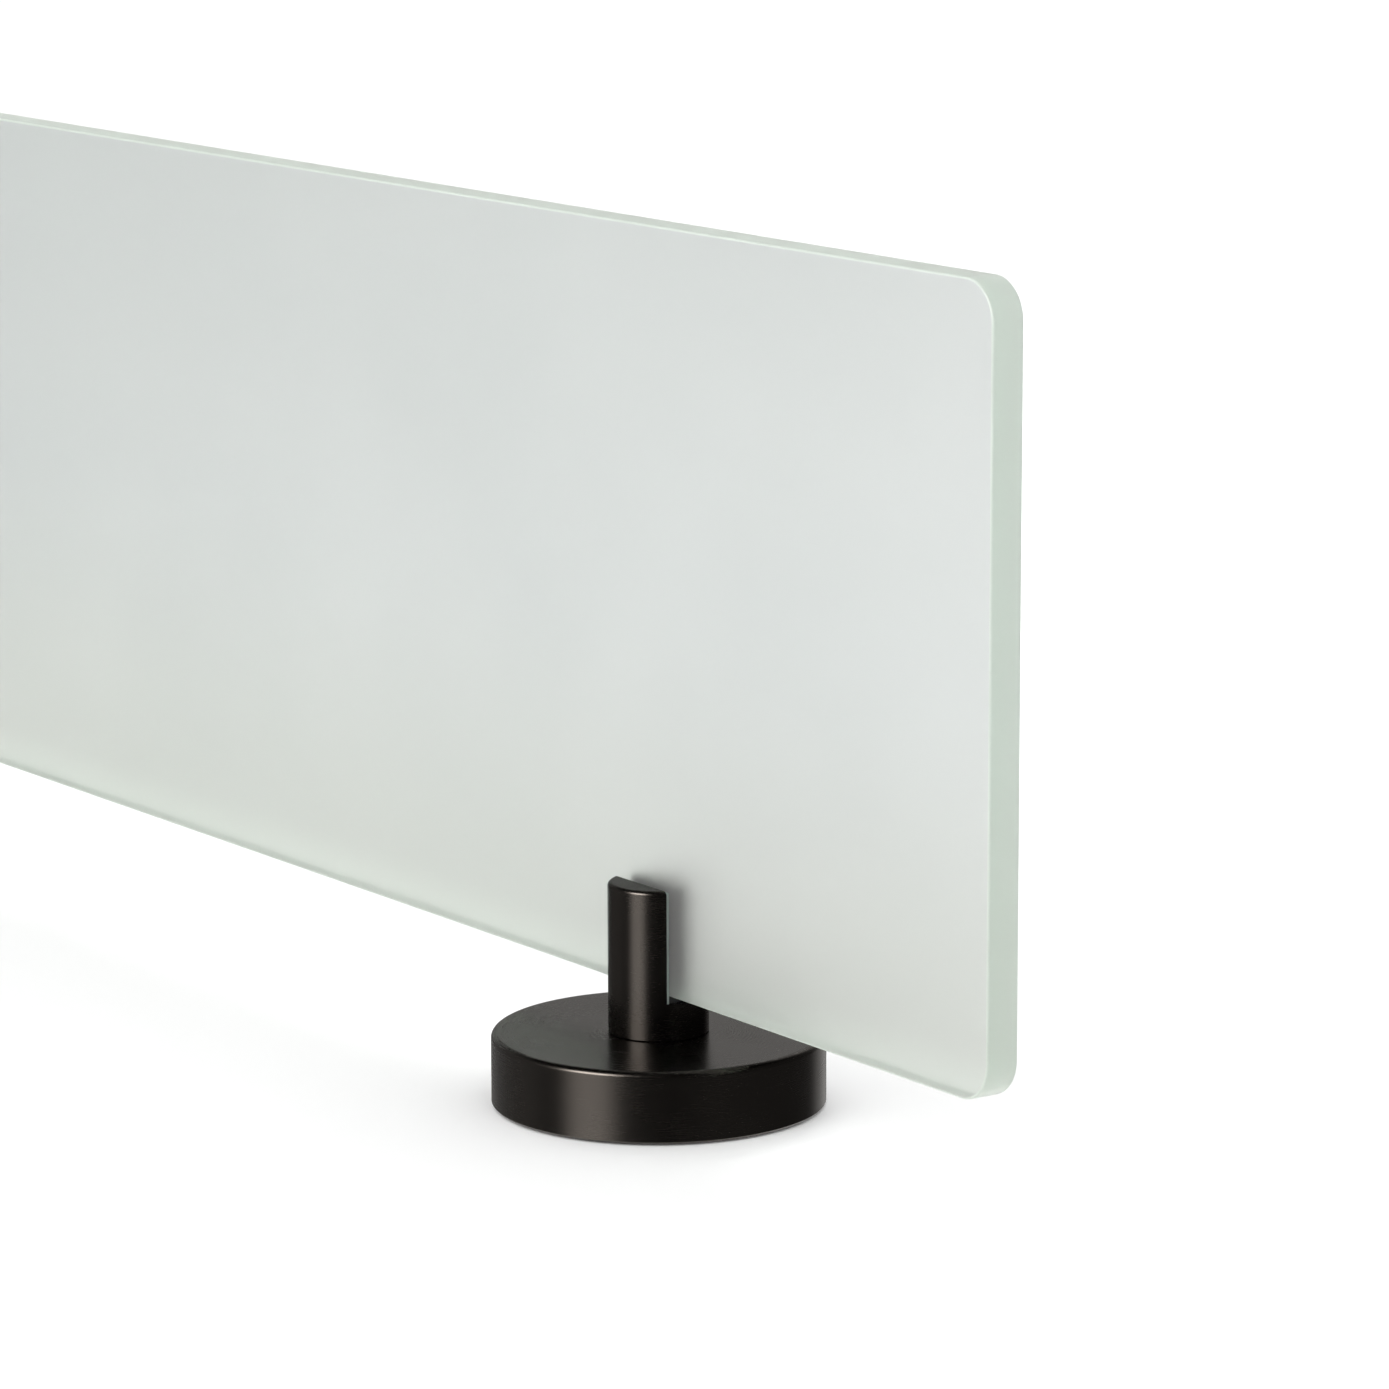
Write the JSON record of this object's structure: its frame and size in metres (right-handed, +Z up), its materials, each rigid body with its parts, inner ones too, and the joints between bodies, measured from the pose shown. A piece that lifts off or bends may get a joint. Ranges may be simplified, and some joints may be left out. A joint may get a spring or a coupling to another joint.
{
  "type": "desk privacy panel",
  "caption": "Low frosted glass desk screen with rounded corners, standing in round black feet whose slotted posts clamp the glass and can slide along it.",
  "frame": {"origin": "desk level, below the middle of the glass", "axes": "+X along the glass to its right end seen from the front, +Y to the rear, where the clamp screws are, +Z up"},
  "size_m": [1.2, 0.093, 0.2449],
  "materials": {
    "frosted_glass": "satin",
    "satin_black_steel": "satin",
    "clear_vinyl": "satin",
    "black_rubber": "matte",
    "black_oxide_steel": "satin",
    "white_nylon": "satin",
    "zinc_plated_steel": "satin"
  },
  "bodies": {
    "panel": {"glass_panel": "frosted_glass"},
    "left_foot": {"left_base_disc": "satin_black_steel", "left_slotted_post": "satin_black_steel", "left_front_glass_pad": "clear_vinyl", "left_rear_glass_pad": "clear_vinyl", "left_setting_block": "black_rubber", "left_post_bolt": "zinc_plated_steel", "left_bolt_washer": "zinc_plated_steel", "left_non_slip_pad": "black_rubber"},
    "left_upper_thrust": {"left_upper_thrust_pad": "white_nylon"},
    "left_upper_screw": {"left_upper_clamp_screw": "black_oxide_steel"},
    "left_lower_thrust": {"left_lower_thrust_pad": "white_nylon"},
    "left_lower_screw": {"left_lower_clamp_screw": "black_oxide_steel"},
    "right_foot": {"right_base_disc": "satin_black_steel", "right_slotted_post": "satin_black_steel", "right_front_glass_pad": "clear_vinyl", "right_rear_glass_pad": "clear_vinyl", "right_setting_block": "black_rubber", "right_post_bolt": "zinc_plated_steel", "right_bolt_washer": "zinc_plated_steel", "right_non_slip_pad": "black_rubber"},
    "right_upper_thrust": {"right_upper_thrust_pad": "white_nylon"},
    "right_upper_screw": {"right_upper_clamp_screw": "black_oxide_steel"},
    "right_lower_thrust": {"right_lower_thrust_pad": "white_nylon"},
    "right_lower_screw": {"right_lower_clamp_screw": "black_oxide_steel"}
  },
  "joints": [
    {"name": "left_foot_slide", "type": "slide", "parent": "panel", "child": "left_foot", "axis": [-1, 0, 0], "range_m": [-0.24, 0.12]},
    {"name": "left_upper_thrust_slide", "type": "slide", "parent": "left_foot", "child": "left_upper_thrust", "axis": [0, 1, 0], "range_m": [0, 0.002]},
    {"name": "left_upper_screw_turn", "type": "hinge", "parent": "left_upper_thrust", "child": "left_upper_screw", "pos_m": [-0.446, 0.0106, 0.0528], "axis": [0, 1, 0], "range_deg": [0, 720]},
    {"name": "left_lower_thrust_slide", "type": "slide", "parent": "left_foot", "child": "left_lower_thrust", "axis": [0, 1, 0], "range_m": [0, 0.002]},
    {"name": "left_lower_screw_turn", "type": "hinge", "parent": "left_lower_thrust", "child": "left_lower_screw", "pos_m": [-0.446, 0.0106, 0.0393], "axis": [0, 1, 0], "range_deg": [0, 720]},
    {"name": "right_foot_slide", "type": "slide", "parent": "panel", "child": "right_foot", "axis": [1, 0, 0], "range_m": [-0.24, 0.12]},
    {"name": "right_upper_thrust_slide", "type": "slide", "parent": "right_foot", "child": "right_upper_thrust", "axis": [0, 1, 0], "range_m": [0, 0.002]},
    {"name": "right_upper_screw_turn", "type": "hinge", "parent": "right_upper_thrust", "child": "right_upper_screw", "pos_m": [0.446, 0.0106, 0.0528], "axis": [0, 1, 0], "range_deg": [0, 720]},
    {"name": "right_lower_thrust_slide", "type": "slide", "parent": "right_foot", "child": "right_lower_thrust", "axis": [0, 1, 0], "range_m": [0, 0.002]},
    {"name": "right_lower_screw_turn", "type": "hinge", "parent": "right_lower_thrust", "child": "right_lower_screw", "pos_m": [0.446, 0.0106, 0.0393], "axis": [0, 1, 0], "range_deg": [0, 720]}
  ],
  "couplings": [
    {"joint": "left_upper_screw_turn", "follows": "left_upper_thrust_slide", "rad_per_m": 6283.2},
    {"joint": "left_lower_screw_turn", "follows": "left_lower_thrust_slide", "rad_per_m": 6283.2},
    {"joint": "right_upper_screw_turn", "follows": "right_upper_thrust_slide", "rad_per_m": 6283.2},
    {"joint": "right_lower_screw_turn", "follows": "right_lower_thrust_slide", "rad_per_m": 6283.2}
  ]
}
